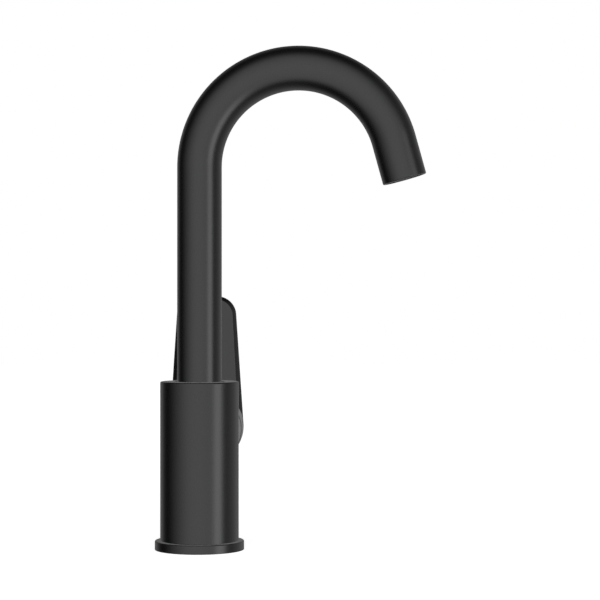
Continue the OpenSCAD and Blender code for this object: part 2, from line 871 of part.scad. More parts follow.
module handle() {
    socket_w = spindle_w + 2 * push_fit;
    color(satin_black)
        along_boss()
            difference() {
                union() {
                    rounded_disc(hub_r, hub_rim_y, plate_end, lever_edge);
                    lever_plate();
                }
                translate([0, 0, hub_rim_y - over]) cylinder(r = hollow_r, h = hub_hollow + over);
                translate([-socket_w / 2, -socket_w / 2, hollow_floor - over])
                    cube([socket_w, socket_w, spindle_end + spindle_end_gap - hollow_floor + over]);
                tilt_relief();
                translate([0, 0, grub_y]) rotate([-90, 0, 0]) cylinder(d = grub_d, h = hub_r + over);
                translate([0, plug_low, grub_y])
                    rotate([-90, 0, 0]) cylinder(d = plug_d, h = hub_r - plug_low + over);
            }
}

module handle_screw() {
    tip = spindle_w / 2;
    top = plug_low - grub_gap;
    color(plain_steel)
        along_boss() translate([0, 0, grub_y]) rotate([-90, 0, 0])
            difference() {
                translate([0, 0, tip]) cylinder(d = grub_d - 2 * push_fit, h = top - tip);
                translate([0, 0, top - grub_hex_depth])
                    cylinder(d = grub_d / 2, h = grub_hex_depth + over, $fn = 6);
            }
}

module screw_plug() {
    color(black_plastic)
        along_boss() translate([0, 0, grub_y]) rotate([-90, 0, 0])
            translate([0, 0, plug_low]) cylinder(d = plug_d - 2 * push_fit, h = plug_t);
}

base_ring();
base_gasket();
body();
slip_ring();
thrust_washer();
spout_stop_screw();
spout_tube();
spout_nipple();
spout_seals();
nipple_guide_ring();
outlet_bush();
aerator_shell();
aerator_core();
aerator_grid();
aerator_washer();
cartridge_foot();
port_seals();
fixed_disc();
sliding_disc();
disc_carrier();
cartridge_rotor();
cartridge_housing();
lever_spindle();
spindle_pin();
hot_limit_ring();
cartridge_nut();
trim_dome();
handle();
handle_screw();
screw_plug();
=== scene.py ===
"""A satin black basin mixer tap: base ring, round body, gooseneck spout and side lever.

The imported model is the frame. The large visible pieces are made again here with the small
edge roundings, threads and perforations that the solids leave out, and the pieces inside keep
their solids and get the material that each is really made of. Lengths are in millimetres and
become metres when a mesh is written.
"""
import math

import bmesh
import bpy
from mathutils import Matrix, Vector


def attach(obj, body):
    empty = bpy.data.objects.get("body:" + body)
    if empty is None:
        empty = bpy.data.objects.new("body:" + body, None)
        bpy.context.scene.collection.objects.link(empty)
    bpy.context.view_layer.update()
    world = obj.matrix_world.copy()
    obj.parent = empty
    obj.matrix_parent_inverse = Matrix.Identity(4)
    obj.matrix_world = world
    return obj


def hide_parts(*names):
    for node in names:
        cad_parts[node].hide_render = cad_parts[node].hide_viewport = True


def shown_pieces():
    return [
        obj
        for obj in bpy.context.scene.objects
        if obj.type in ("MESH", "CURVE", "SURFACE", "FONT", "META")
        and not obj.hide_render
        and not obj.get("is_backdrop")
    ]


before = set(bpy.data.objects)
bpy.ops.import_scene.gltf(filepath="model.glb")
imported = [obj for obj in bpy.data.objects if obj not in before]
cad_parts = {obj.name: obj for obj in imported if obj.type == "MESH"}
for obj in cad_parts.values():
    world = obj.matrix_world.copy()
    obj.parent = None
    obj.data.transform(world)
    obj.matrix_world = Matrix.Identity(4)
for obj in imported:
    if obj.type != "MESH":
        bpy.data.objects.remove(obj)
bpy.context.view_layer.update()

MM = 0.001
# A cutter reaches this far past the face that it cuts, and only NEAR where another face is close
OVER, NEAR = 1, 0.1
# Points closer than this are one point
SAME = 1e-5

# Sizes that the pieces share with the part's source
RING_D, RING_H, RING_EDGE = 50, 5, 0.55
SPIGOT_D, SPIGOT_LIFT = 34, 1
GASKET_R, GASKET_W, GASKET_H = (RING_D + SPIGOT_D) / 4, 4, 1.5
BODY_D, BODY_TOP, BODY_EDGE = 44, 94, 0.8
RECESS_D, RECESS_TOP = 31, 12
BOSS_Z, BOSS_END = 64.8, 35
INLET_D, INLET_DEPTH, INLET_SPACING, INLET_OFFSET = 10, 12, 17, 5
STUD_D, STUD_DEPTH, STUD_OFFSET = 8, 14, 8.5
WATERWAY_D = 5
TUBE_D, TUBE_WALL, TUBE_Z = 25, 1.5, 86.54
BEND_R, BEND_Z, BEND_SWEEP, OUTLET_LEN = 55.5, 214, 164.5, 22.5
SOCKET_D, WELL_D, STEP_Z, SLIP_Z, PLENUM_FLOOR = 19, 25.6, 83.6, 86.58, 52.8
SLIP_RING_D, SLIP_RING_TOP = 28.1, 93.7
STOP_D, STOP_Z, STOP_HEAD_X = 4, 81.2, 20.5
SEAT_Y, CHAMBER_D, NUT_D, NUT_RELIEF_Y = 12, 35.2, 38, 28.72
INLET_PORT, INLET_PORT_D, OUTLET_PORT, OUTLET_PORT_D = (9, 5), 5, (0, -8), 7.2
PORT_DEPTH, PORT_DRILL_D, PEG_AT, PEG_HOLE_D, PEG_DEPTH = 2.2, 4.4, (9, -9), 4.04, 2
WATERWAY_TOP = (13, 8.2, 72.3)
DOME_R, DOME_TOP, DOME_BORE_R, NUT_HEAD_D, NUT_TOP = 19.5, 40.94, 15.6, 34, 38.62
AERATOR_D, SHELL_WALL, SHELL_SET, SHELL_LEN, LIP, LIP_T = 18.5, 1.2, 1.1, 9.5, 1, 0.8
BUSH_SET, BUSH_LEN, BUSH_THROAT_D, WASHER_T, KEY_W, KEY_DEPTH = 0.6, 14, 15.3, 1.6, 2, 0.6
GRID_PITCH, GRID_HOLE, GRID_T, GRID_RIM = 2.2, 1.936, 1.4, 1.3
PUSH_FIT, RUN_FIT, SCREW_FIT, SEAT_GAP = 0.02, 0.05, 0.03, 0.04
HUB_D, HUB_RIM_Y, HUB_WALL, HOLLOW_FLOOR = 44, 35.8, 2, 48
PIVOT_Y, TILT = 35.94, math.radians(18)
PLATE_Y, PLATE_END, LEVER_H, CORNER_R, TIP_FLAT, LEVER_EDGE = 60, 66, 77, 11.3, 12.6, 1.7
SPINDLE_W, SPINDLE_HOLE_END = 8.04, 58.74
GRUB_D, GRUB_Y, PLUG_D, PLUG_LOW, PLUG_T = 5, 54, 6.6, 19, 2.5

ALONG_BOSS = Matrix.Translation((0, 0, BOSS_Z)) @ Matrix.Rotation(-math.pi / 2, 4, "X")
AT_OUTLET = (
    Matrix.Translation((BEND_R, 0, BEND_Z))
    @ Matrix.Rotation(-math.radians(180 - BEND_SWEEP), 4, "Y")
    @ Matrix.Translation((BEND_R, 0, -OUTLET_LEN))
)


# Making meshes
def eased(corners, steps=4):
    """A closed section of (radius, height, rounding) corners, as (radius, height) points."""
    points = []
    for i, (r, h, rounding) in enumerate(corners):
        corner = Vector((r, h))
        if rounding <= 0:
            points.append(corner)
            continue
        to_last = (Vector(corners[i - 1][:2]) - corner).normalized()
        to_next = (Vector(corners[(i + 1) % len(corners)][:2]) - corner).normalized()
        half = to_last.angle(to_next) / 2
        centre = corner + (to_last + to_next).normalized() * (rounding / math.sin(half))
        start = corner + to_last * (rounding / math.tan(half)) - centre
        turn = start.angle_signed(corner + to_next * (rounding / math.tan(half)) - centre)
        for k in range(steps + 1):
            angle = -turn * k / steps
            c, s = math.cos(angle), math.sin(angle)
            points.append(centre + Vector((start.x * c - start.y * s, start.x * s + start.y * c)))
    return points


def arc(start, end, count):
    """Evenly spaced values from start to end, both included."""
    return [start + (end - start) * i / (count - 1) for i in range(count)]


def mesh_object(name, bm, place=Matrix()):
    """Writes a bmesh in millimetres into an object in metres, with its faces pointing out."""
    bmesh.ops.remove_doubles(bm, verts=bm.verts, dist=SAME)
    bmesh.ops.dissolve_degenerate(bm, edges=bm.edges, dist=SAME)
    bmesh.ops.recalc_face_normals(bm, faces=bm.faces)
    bmesh.ops.transform(bm, matrix=Matrix.Scale(MM, 4) @ place, verts=bm.verts)
    mesh = bpy.data.meshes.new(name)
    bm.to_mesh(mesh)
    bm.free()
    piece = bpy.data.objects.new(name, mesh)
    bpy.context.scene.collection.objects.link(piece)
    return piece


def turned(name, section, place=Matrix(), columns=160):
    """A piece turned on a lathe from a section of (radius, height) points."""
    bm = bmesh.new()
    rings = []
    for r, h in section:
        if r < SAME:
            rings.append([bm.verts.new((0, 0, h))] * columns)
        else:
            rings.append([
                bm.verts.new((r * math.cos(a), r * math.sin(a), h))
                for a in (2 * math.pi * i / columns for i in range(columns))
            ])
    closed = section[0][0] > SAME or section[-1][0] > SAME
    for low, high in zip(rings, rings[1:] + (rings[:1] if closed else [])):
        for i in range(columns):
            j = (i + 1) % columns
            corners = [low[i], low[j], high[j], high[i]]
            face = [v for k, v in enumerate(corners) if v not in corners[:k]]
            if len(face) > 2:
                bm.faces.new(face)
    return mesh_object(name, bm, place)


def drill(name, start, end, diameter, countersink=0.0, before=OVER, columns=48):
    """A drill from start to end. A countersunk one starts a bit before the face, whose edge it breaks."""
    start, end = Vector(start), Vector(end)
    length, r = (end - start).length, diameter / 2
    turn = (end - start).to_track_quat("Z", "Y").to_matrix().to_4x4()
    section = [(0, 0), (r, 0), (r, length), (0, length)]
    if countersink:
        section[1:2] = [(r + countersink + before, 0), (r, countersink + before)]
    return turned(name, section, Matrix.Translation(start) @ turn, columns)


def block(name, low, high, place=Matrix()):
    """A plain block between two corners, used as a cutter."""
    bm = bmesh.new()
    bmesh.ops.create_cube(bm, size=1)
    low, high = Vector(low), Vector(high)
    size = high - low
    bmesh.ops.transform(
        bm, matrix=Matrix.Translation((low + high) / 2) @ Matrix.Diagonal((*size, 1)), verts=bm.verts
    )
    return mesh_object(name, bm, place)


def settled(piece):
    """The piece with its modifiers made part of its mesh."""
    graph = bpy.context.evaluated_depsgraph_get()
    mesh = bpy.data.meshes.new_from_object(piece.evaluated_get(graph), depsgraph=graph)
    old = piece.data
    piece.modifiers.clear()
    piece.data = mesh
    bpy.data.meshes.remove(old)
    mesh.name = piece.name
    return piece


def cleaned(piece, close=2e-6, flat=math.radians(0.02)):
    """Takes the slivers out of a cut mesh: points that nearly meet, edges inside flats, small gaps."""
    bm = bmesh.new()
    bm.from_mesh(piece.data)
    bmesh.ops.remove_doubles(bm, verts=bm.verts, dist=close)
    bmesh.ops.dissolve_limit(bm, angle_limit=flat, verts=bm.verts, edges=bm.edges)
    bmesh.ops.triangulate(bm, faces=[f for f in bm.faces if len(f.verts) > 4], ngon_method="BEAUTY")
    bmesh.ops.dissolve_degenerate(bm, edges=bm.edges, dist=close / 2)
    bmesh.ops.holes_fill(bm, edges=[e for e in bm.edges if e.is_boundary], sides=8)
    bmesh.ops.recalc_face_normals(bm, faces=bm.faces)
    bm.to_mesh(piece.data)
    bm.free()
    return piece


def combined(piece, others, operation="DIFFERENCE"):
    """Cuts other pieces out of a piece, or joins them to it."""
    for other in others:
        step = piece.modifiers.new(other.name, "BOOLEAN")
        step.operation, step.solver, step.object = operation, "EXACT", other
    settled(piece)
    for other in others:
        mesh = other.data
        bpy.data.objects.remove(other)
        bpy.data.meshes.remove(mesh)
    return cleaned(piece)


def smoothed(piece, angle=32):
    """Shades curved faces smoothly and keeps flat ones flat."""
    piece.data.shade_smooth()
    piece.data.set_sharp_from_angle(angle=math.radians(angle))
    weigh = piece.modifiers.new("flat faces stay flat", "WEIGHTED_NORMAL")
    weigh.mode, weigh.weight, weigh.keep_sharp = "FACE_AREA", 50, True
    return settled(piece)


def fitted(piece, material, body, slot, *nodes):
    """Gives a finished piece its material, the body it rides on and the nodes it stands for."""
    piece.data.materials.clear()
    piece.data.materials.append(material)
    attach(piece, body)
    if nodes:
        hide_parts(*nodes)


# Materials
def linear(code):
    """A linear colour from an sRGB hex value."""
    parts = [int(code[i:i + 2], 16) / 255 for i in (1, 3, 5)]
    return [p / 12.92 if p <= 0.04045 else ((p + 0.055) / 1.055) ** 2.4 for p in parts] + [1]


def add(tree, kind, settings=(), **inputs):
    """Adds a node. Inputs are values, sockets or nodes with one output, and index_3 means input 3."""
    made = tree.nodes.new(kind)
    for key, value in dict(settings).items():
        setattr(made, key, value)
    for key, value in inputs.items():
        socket = made.inputs[int(key[6:]) if key.startswith("index_") else key.replace("_", " ")]
        if isinstance(value, bpy.types.Node):
            value = value.outputs[0]
        if isinstance(value, bpy.types.NodeSocket):
            tree.links.new(value, socket)
        else:
            socket.default_value = value
    return made


def new_material(name, **shader):
    """A material with one Principled shader, and the tree, shader and object coordinates in mm."""
    material = bpy.data.materials.new(name)
    material.use_nodes = True
    tree = material.node_tree
    tree.nodes.clear()
    surface = add(tree, "ShaderNodeBsdfPrincipled", **shader)
    add(tree, "ShaderNodeOutputMaterial", Surface=surface)
    place = add(tree, "ShaderNodeTexCoord").outputs["Object"]
    in_mm = add(tree, "ShaderNodeVectorMath", {"operation": "SCALE"}, Vector=place, Scale=1 / MM).outputs[0]
    return material, tree, surface, in_mm


def satin_black_coating():
    # Satin black powder lacquer baked on brass: soft broad highlights with a faint orange peel,
    # and a fine dust of matting agent that breaks the gloss unevenly
    material, tree, surface, mm = new_material("satin black lacquer on brass", IOR=1.6)
    cloud = add(tree, "ShaderNodeTexNoise", Vector=mm, Scale=0.05, Detail=2.0, Roughness=0.5)
    tone = add(
        tree, "ShaderNodeMix", {"data_type": "RGBA"}, Factor=cloud.outputs["Fac"],
        index_6=linear("#121213"), index_7=linear("#171718"),
    )
    tree.links.new(tone.outputs[2], surface.inputs["Base Color"])
    matting = add(tree, "ShaderNodeTexNoise", Vector=mm, Scale=2.2, Detail=3.0, Roughness=0.6)
    gloss = add(
        tree, "ShaderNodeMapRange", Value=matting.outputs["Fac"],
        index_1=0.3, index_2=0.7, index_3=0.27, index_4=0.31,
    )
    tree.links.new(gloss.outputs[0], surface.inputs["Roughness"])
    peel = add(tree, "ShaderNodeTexNoise", Vector=mm, Scale=0.9, Detail=1.5, Roughness=0.45)
    bump = add(tree, "ShaderNodeBump", Strength=0.06, Distance=0.0002, Height=peel.outputs["Fac"])
    tree.links.new(bump.outputs[0], surface.inputs["Normal"])
    return material


def moulded(name, dark, pale, smooth, rough, grain, **shader):
    """A moulded surface: an even fine grain from the mould's walls and a slow drift of tone."""
    material, tree, surface, mm = new_material(name, **shader)
    drift = add(tree, "ShaderNodeTexNoise", Vector=mm, Scale=0.12, Detail=2.0, Roughness=0.5).outputs["Fac"]
    tone = add(
        tree, "ShaderNodeMix", {"data_type": "RGBA"}, Factor=drift, index_6=linear(dark), index_7=linear(pale)
    )
    tree.links.new(tone.outputs[2], surface.inputs["Base Color"])
    spark = add(
        tree, "ShaderNodeTexNoise", Vector=mm, Scale=1 / grain, Detail=2.0, Roughness=0.6
    ).outputs["Fac"]
    gloss = add(
        tree, "ShaderNodeMapRange", Value=spark, index_1=0.3, index_2=0.7, index_3=smooth, index_4=rough
    )
    tree.links.new(gloss.outputs[0], surface.inputs["Roughness"])
    bump = add(tree, "ShaderNodeBump", Strength=0.25, Distance=0.02 * MM, Height=spark)
    tree.links.new(bump.outputs[0], surface.inputs["Normal"])
    return material


def black_acetal():
    # Moulded acetal, a slippery bearing plastic: near black with a waxy, even half gloss
    return moulded("black acetal, moulded", "#151516", "#1d1d1e", 0.4, 0.5, 0.35, IOR=1.48)


def grey_nylon():
    # Glass filled nylon from the mould: cool mid grey, dry and a little grainy from the fibres
    return moulded("grey glass filled nylon, moulded", "#85888b", "#95989b", 0.48, 0.62, 0.25, IOR=1.53)


def red_polypropylene():
    # Moulded polypropylene: a clear signal red, softly glossy and slightly translucent at edges
    return moulded("red polypropylene, moulded", "#a92c26", "#bb382f", 0.36, 0.44, 0.5, IOR=1.49)


def black_epdm():
    # EPDM rubber: charcoal, matt, with a faint grey bloom at a low angle
    return moulded(
        "black EPDM rubber, moulded", "#131313", "#1b1b1b", 0.68, 0.82, 0.4,
        IOR=1.52, Sheen_Weight=0.12, Sheen_Roughness=0.5,
    )


def lapped_alumina():
    # Alumina ceramic, sintered and lapped flat: warm white, glassy, with a fine grain in its gloss
    material, tree, surface, mm = new_material("white alumina, lapped", IOR=1.76)
    grain = add(tree, "ShaderNodeTexVoronoi", Vector=mm, Scale=4.0).outputs["Distance"]
    tone = add(
        tree, "ShaderNodeMix", {"data_type": "RGBA"}, Factor=grain,
        index_6=linear("#ece8de"), index_7=linear("#e4dfd3"),
    )
    tree.links.new(tone.outputs[2], surface.inputs["Base Color"])
    gloss = add(tree, "ShaderNodeMapRange", Value=grain, index_1=0.0, index_2=0.8, index_3=0.12, index_4=0.24)
    tree.links.new(gloss.outputs[0], surface.inputs["Roughness"])
    return material


def off_the_lathe(name, dark, pale, smooth, rough, feed, place=(0, 0, 0), turn=(0, 0, 0)):
    """Bare turned metal: feed marks round the piece's axis, which place and turn bring to Z."""
    material, tree, surface, mm = new_material(name, Metallic=1.0)
    own = add(tree, "ShaderNodeMapping", Vector=mm, Location=place, Rotation=turn)
    at = add(tree, "ShaderNodeSeparateXYZ", Vector=own).outputs
    across = add(tree, "ShaderNodeCombineXYZ", X=at["X"], Y=at["Y"])
    radius = add(tree, "ShaderNodeVectorMath", {"operation": "LENGTH"}, Vector=across).outputs["Value"]
    # Along a round face the tool travels with Z, and over a flat one with the radius
    travel = add(tree, "ShaderNodeMath", {"operation": "ADD"}, index_0=at["Z"], index_1=radius)
    marks = add(
        tree, "ShaderNodeTexWave", Vector=add(tree, "ShaderNodeCombineXYZ", X=travel),
        Scale=math.pi / 10 / feed, Distortion=0.5, Detail=1.0,
    ).outputs["Fac"]
    stain = add(tree, "ShaderNodeTexNoise", Vector=mm, Scale=0.2, Detail=3.0, Roughness=0.6).outputs["Fac"]
    tone = add(
        tree, "ShaderNodeMix", {"data_type": "RGBA"}, Factor=stain, index_6=linear(dark), index_7=linear(pale)
    )
    tree.links.new(tone.outputs[2], surface.inputs["Base Color"])
    gloss = add(
        tree, "ShaderNodeMapRange", Value=marks, index_1=0.0, index_2=1.0, index_3=smooth, index_4=rough
    )
    tree.links.new(gloss.outputs[0], surface.inputs["Roughness"])
    bump = add(tree, "ShaderNodeBump", Strength=0.2, Distance=0.02 * MM, Height=marks)
    tree.links.new(bump.outputs[0], surface.inputs["Normal"])
    return material


def turned_brass(*where):
    # Brass bar off the lathe, unpolished: warm yellow with feed marks, drawn at twice their pitch
    return off_the_lathe("turned brass", "#b08d45", "#c9a75a", 0.24, 0.38, 0.3, *where)


def turned_stainless(*where):
    # Stainless steel off the lathe: cool grey with bright, fine feed marks, drawn at twice their pitch
    return off_the_lathe("turned stainless steel", "#a3a6a8", "#b4b7b9", 0.2, 0.34, 0.24, *where)


BLACK = satin_black_coating()
ACETAL = black_acetal()
NYLON = grey_nylon()
RUBBER = black_epdm()
CERAMIC = lapped_alumina()

# Turns that bring a piece's own axis to Z, with the place of that axis afterwards
QUARTER = math.pi / 2
BOSS_AXIS = ((0, BOSS_Z, 0), (QUARTER, 0, 0))
STOP_SCREW_AXIS = ((STOP_Z, 0, 0), (0, -QUARTER, 0))
PIVOT_AXIS = ((BOSS_Z, -PIVOT_Y, 0), (0, -QUARTER, 0))
GRUB_AXIS = ((0, -GRUB_Y, 0), (0, 0, 0))

# The pieces inside keep their solids and get what they are really made of
for material, *names in (
    (ACETAL, "thrust_washer", "nipple_guide_ring", "disc_carrier", "cartridge_housing"),
    (NYLON, "aerator_core", "cartridge_foot", "cartridge_rotor"),
    (RUBBER, "spout_seals", "aerator_washer", "port_seals"),
    (CERAMIC, "fixed_disc", "sliding_disc"),
    (red_polypropylene(), "hot_limit_ring"),
    (turned_brass(), "spout_nipple"),
    (turned_brass(*BOSS_AXIS), "cartridge_nut"),
    (turned_stainless(*BOSS_AXIS), "lever_spindle"),
    (turned_stainless(*PIVOT_AXIS), "spindle_pin"),
    (turned_stainless(*GRUB_AXIS), "handle_screw"),
):
    for name in names:
        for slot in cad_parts[name].material_slots:
            slot.material = material


# The base ring
def ring_turning(bore_ease=0.2, foot_ease=0.1):
    """A ring with a rounded shoulder and a groove underneath for the seal."""
    groove = GASKET_W / 2 + PUSH_FIT
    return turned("ring_turning", eased([
        (SPIGOT_D / 2 + PUSH_FIT, 0, bore_ease),
        (SPIGOT_D / 2 + PUSH_FIT, RING_H, bore_ease),
        (RING_D / 2, RING_H, RING_EDGE),
        (RING_D / 2, 0, foot_ease),
        (GASKET_R + groove, 0, foot_ease),
        (GASKET_R + groove, GASKET_H, 0),
        (GASKET_R - groove, GASKET_H, 0),
        (GASKET_R - groove, 0, foot_ease),
    ]), columns=192)


fitted(smoothed(ring_turning()), BLACK, "base", "satin_black", "base_ring")


# The body, one casting with its side boss
def body_shell(
    blend=1.2, lead=0.3, nut_lead=0.4, foot_edge=0.2, boss_ease=0.3, boss_draft=0.35, columns=96
):
    """Upright and boss are equal round bars that cross, with a small cast blend between them.

    The boss narrows by boss_draft to its end, as a casting does to leave its mould. Each half of the
    upright has as many columns of faces as are given.
    """
    r, wide = BODY_D / 2, BODY_D / 2 + blend
    bm = bmesh.new()
    top = eased([(0, BODY_TOP, 0), (r, BODY_TOP, BODY_EDGE), (r, 0, 0)], 6)[1:-1][::-1]
    collar_r = SLIP_RING_D / 2 + PUSH_FIT
    well = [
        (SLIP_RING_D / 2 + lead, BODY_TOP), (collar_r, BODY_TOP + PUSH_FIT - lead), (collar_r, SLIP_Z),
        (WELL_D / 2, SLIP_Z), (WELL_D / 2, STEP_Z), (SOCKET_D / 2, STEP_Z), (SOCKET_D / 2, PLENUM_FLOOR),
        (0, PLENUM_FLOOR),
    ]
    foot = [
        (0, RECESS_TOP), (RECESS_D / 2, RECESS_TOP), (RECESS_D / 2, SPIGOT_LIFT + lead),
        (RECESS_D / 2 + lead, SPIGOT_LIFT), (SPIGOT_D / 2 - lead, SPIGOT_LIFT),
        (SPIGOT_D / 2, SPIGOT_LIFT + lead), (SPIGOT_D / 2, RING_H),
        (r - foot_edge, RING_H), (r, RING_H + foot_edge),
    ]
    end = eased([(0, BOSS_END, 0), (r - boss_draft, BOSS_END, boss_ease), (r, 0, 0)])[1:-1][::-1]
    chamber = [
        (NUT_D / 2 + nut_lead, BOSS_END), (NUT_D / 2, BOSS_END - nut_lead), (NUT_D / 2, NUT_RELIEF_Y),
        (CHAMBER_D / 2, NUT_RELIEF_Y), (CHAMBER_D / 2, SEAT_Y), (0, SEAT_Y),
    ]

    def strip(edges):
        for left, right in zip(edges, edges[1:]):
            for i in range(len(left) - 1):
                corners = [left[i], right[i], right[i + 1], left[i + 1]]
                verts = []
                for p in corners:
                    if all((p - q.co).length > SAME for q in verts):
                        verts.append(bm.verts.new(p))
                if len(verts) > 2:
                    bm.faces.new(verts)

    def upright(a, sections):
        return [Vector((q * math.cos(a), q * math.sin(a), z)) for q, z in sections]

    def across(a, sections):
        return [Vector((q * math.cos(a), y, BOSS_Z + q * math.sin(a))) for q, y in sections]

    def blend_arc(a, side, steps=6):
        ball = Vector((wide * math.cos(a), wide * math.sin(a), BOSS_Z + side * wide * math.sin(a)))
        to_upright = Vector((-math.cos(a), -math.sin(a), 0))
        to_boss = Vector((-math.cos(a), 0, -side * math.sin(a)))
        if (to_boss - to_upright).length < SAME:
            # Beside the crossing both bars have the same direction, and nothing is left to blend
            return [ball + blend * to_upright] * (steps + 1)
        return [ball + blend * to_upright.slerp(to_boss, k / steps) for k in range(steps + 1)]

    front = arc(math.pi, 2 * math.pi, columns + 1)
    back = arc(0, math.pi, columns + 1)
    strip([upright(a, foot + [(r, BOSS_Z)] + top + well) for a in front])
    strip([upright(a, foot) + blend_arc(a, -1) + across(-a, end + chamber) for a in back])
    strip([list(reversed(upright(a, top + well))) + blend_arc(a, 1) + across(a, end + chamber) for a in back])
    return mesh_object("body_casting", bm)


casting = body_shell()
UP, INWARD = Vector((0, 0, 1)), Vector((0, -1, 0))
STUD_FOOT = Vector((0, -STUD_OFFSET, RECESS_TOP))
OUTLET_Z = BOSS_Z + OUTLET_PORT[1]
SCREW_SINK, STOP_SINK = 0.4, 0.35
drills = [
    drill("stud", STUD_FOOT - UP * NEAR, STUD_FOOT + UP * STUD_DEPTH, STUD_D, SCREW_SINK, NEAR),
    drill("outlet_port", (0, 0, OUTLET_Z), (0, SEAT_Y + OVER, OUTLET_Z), OUTLET_PORT_D),
    drill("stop_hole", (-BODY_D / 2 - OVER, 0, STOP_Z), (OVER - SOCKET_D / 2, 0, STOP_Z), STOP_D, STOP_SINK),
]
for side in (-1, 1):
    inlet = Vector((side * INLET_SPACING / 2, INLET_OFFSET, RECESS_TOP))
    port = Vector((side * INLET_PORT[0], SEAT_Y, BOSS_Z + INLET_PORT[1]))
    peg = Vector((side * PEG_AT[0], SEAT_Y, BOSS_Z + PEG_AT[1]))
    corner = Vector((side * WATERWAY_TOP[0], *WATERWAY_TOP[1:]))
    # The drilling from the port starts inside it and ends a little past the waterway's middle
    port_end = port + INWARD * PORT_DEPTH
    past = (corner - port_end).normalized() * NEAR
    drills += [
        drill("inlet", inlet - UP * NEAR, inlet + UP * INLET_DEPTH, INLET_D, SCREW_SINK, NEAR),
        drill("waterway", inlet + UP * (INLET_DEPTH - OVER), corner, WATERWAY_D),
        drill("inlet_port", port - INWARD * OVER, port_end, INLET_PORT_D),
        drill("port_drilling", port_end - INWARD * OVER / 2, corner + past, PORT_DRILL_D),
        drill("peg_hole", peg - INWARD * OVER, peg + INWARD * PEG_DEPTH, PEG_HOLE_D),
    ]
combined(casting, drills)
fitted(smoothed(casting), BLACK, "base", "satin_black", "body")


# The spout, bent from straight tube
def new_tree(name, result, *sizes, takes=None):
    """An empty Geometry Nodes tree with named sizes and a finish, and its inputs."""
    tree = bpy.data.node_groups.new(name, "GeometryNodeTree")
    if takes:
        tree.interface.new_socket(takes, in_out="INPUT", socket_type="NodeSocketGeometry")
    for size in sizes:
        tree.interface.new_socket(size, in_out="INPUT", socket_type="NodeSocketFloat")
    tree.interface.new_socket("Finish", in_out="INPUT", socket_type="NodeSocketMaterial")
    tree.interface.new_socket(result, in_out="OUTPUT", socket_type="NodeSocketGeometry")
    return tree, add(tree, "NodeGroupInput").outputs


def finish_tree(tree, shape, given):
    """Ends a tree: instances made real, then the finish."""
    whole = add(tree, "GeometryNodeRealizeInstances", Geometry=shape)
    done = add(tree, "GeometryNodeSetMaterial", Geometry=whole, Material=given["Finish"])
    add(tree, "NodeGroupOutput", index_0=done)
    return tree


def run_tree(piece, tree, **values):
    """Runs a Geometry Nodes tree on a piece and keeps the result as its plain mesh."""
    step = piece.modifiers.new(tree.name, "NODES")
    step.node_group = tree
    sockets = {s.name: s.identifier for s in tree.interface.items_tree if s.in_out == "INPUT"}
    for name, value in values.items():
        step[sockets[name.replace("_", " ")]] = value
    piece.update_tag()
    return settled(piece)


def grown(name, tree, place, **values):
    """A piece that a tree makes from nothing, put in its place, which is given in millimetres."""
    piece = run_tree(mesh_object(name, bmesh.new()), tree, **values)
    piece.data.transform(Matrix.Scale(MM, 4) @ place @ Matrix.Scale(1 / MM, 4))
    return piece


def bending_tree():
    """Bends a straight tube standing on its foot into a gooseneck, as a mandrel bender does."""
    tree, given = new_tree(
        "gooseneck bend", "Spout", "Foot", "Straight", "Bend radius", "Bend angle", takes="Tube"
    )
    at = add(tree, "ShaderNodeSeparateXYZ", Vector=add(tree, "GeometryNodeInputPosition")).outputs
    radius = given["Bend radius"]
    along = add(tree, "ShaderNodeMath", {"operation": "SUBTRACT"}, index_0=at["Z"], index_1=given["Foot"])
    bent = add(tree, "ShaderNodeMath", {"operation": "MULTIPLY"}, index_0=radius, index_1=given["Bend angle"])
    over = add(tree, "ShaderNodeMath", {"operation": "SUBTRACT"}, index_0=along, index_1=given["Straight"])
    past = add(tree, "ShaderNodeMath", {"operation": "MAXIMUM"}, index_0=over, index_1=0.0)
    turned_by = add(tree, "ShaderNodeMath", {"operation": "MINIMUM"}, index_0=past, index_1=bent)
    angle = add(tree, "ShaderNodeMath", {"operation": "DIVIDE"}, index_0=turned_by, index_1=radius)
    beyond = add(tree, "ShaderNodeMath", {"operation": "SUBTRACT"}, index_0=past, index_1=turned_by)
    rise = add(tree, "ShaderNodeMath", {"operation": "MINIMUM"}, index_0=along, index_1=given["Straight"])
    cosine = add(tree, "ShaderNodeMath", {"operation": "COSINE"}, index_0=angle)
    sine = add(tree, "ShaderNodeMath", {"operation": "SINE"}, index_0=angle)
    # Each point swings about the bend's centre, then runs on straight
    arm = add(tree, "ShaderNodeMath", {"operation": "SUBTRACT"}, index_0=radius, index_1=at["X"])
    swung = add(tree, "ShaderNodeMath", {"operation": "MULTIPLY"}, index_0=arm, index_1=cosine)
    x = add(tree, "ShaderNodeMath", {"operation": "SUBTRACT"}, index_0=radius, index_1=swung)
    x = add(tree, "ShaderNodeMath", {"operation": "MULTIPLY_ADD"}, index_0=beyond, index_1=sine, index_2=x)
    z = add(tree, "ShaderNodeMath", {"operation": "ADD"}, index_0=given["Foot"], index_1=rise)
    z = add(tree, "ShaderNodeMath", {"operation": "MULTIPLY_ADD"}, index_0=arm, index_1=sine, index_2=z)
    z = add(tree, "ShaderNodeMath", {"operation": "MULTIPLY_ADD"}, index_0=beyond, index_1=cosine, index_2=z)
    bend = add(tree, "ShaderNodeCombineXYZ", X=x, Y=at["Y"], Z=z)
    moved = add(tree, "GeometryNodeSetPosition", Geometry=given["Tube"], Position=bend)
    return finish_tree(tree, moved, given)


straight = BEND_Z - TUBE_Z
bend_length = BEND_R * math.radians(BEND_SWEEP)
tube_length = straight + bend_length + OUTLET_LEN
outer, bore = TUBE_D / 2, TUBE_D / 2 - TUBE_WALL
